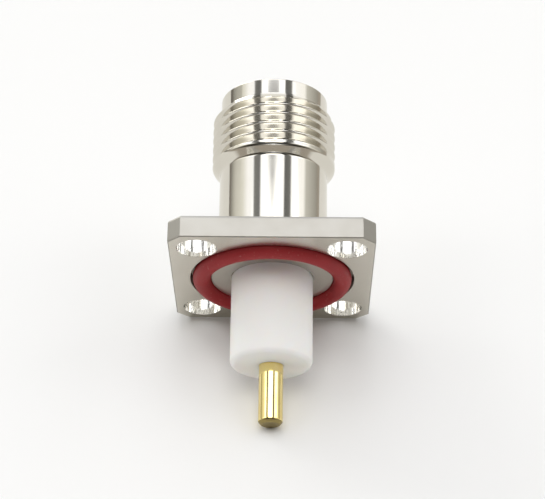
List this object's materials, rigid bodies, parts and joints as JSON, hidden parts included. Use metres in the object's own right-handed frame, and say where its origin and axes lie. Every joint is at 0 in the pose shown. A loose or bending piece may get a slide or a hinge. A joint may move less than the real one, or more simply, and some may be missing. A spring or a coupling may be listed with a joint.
{
  "type": "tnc connector",
  "caption": "Threaded coaxial panel jack with a square screw flange, a face sealing ring, an extended white insulator and a gold solder pin.",
  "frame": {"origin": "centre of the flange's sealing face, on the connector's axis", "axes": "+Y along the axis towards the coupling thread, -Y towards the solder pin, +Z out of one side of the square flange, X along the other side"},
  "size_m": [0.0176, 0.0309, 0.0176],
  "materials": {
    "nickel_plate": "bright nickel plate over turned brass, satin on the flange's faces",
    "red_silicone": "matte moulded silicone",
    "white_ptfe": "turned PTFE with faint tool rings",
    "gold_plate": "polished gold plate"
  },
  "bodies": {
    "root": {"flange_body": "nickel_plate", "sealing_ring": "red_silicone", "insulator": "white_ptfe", "centre_contact": "gold_plate"}
  },
  "joints": []
}
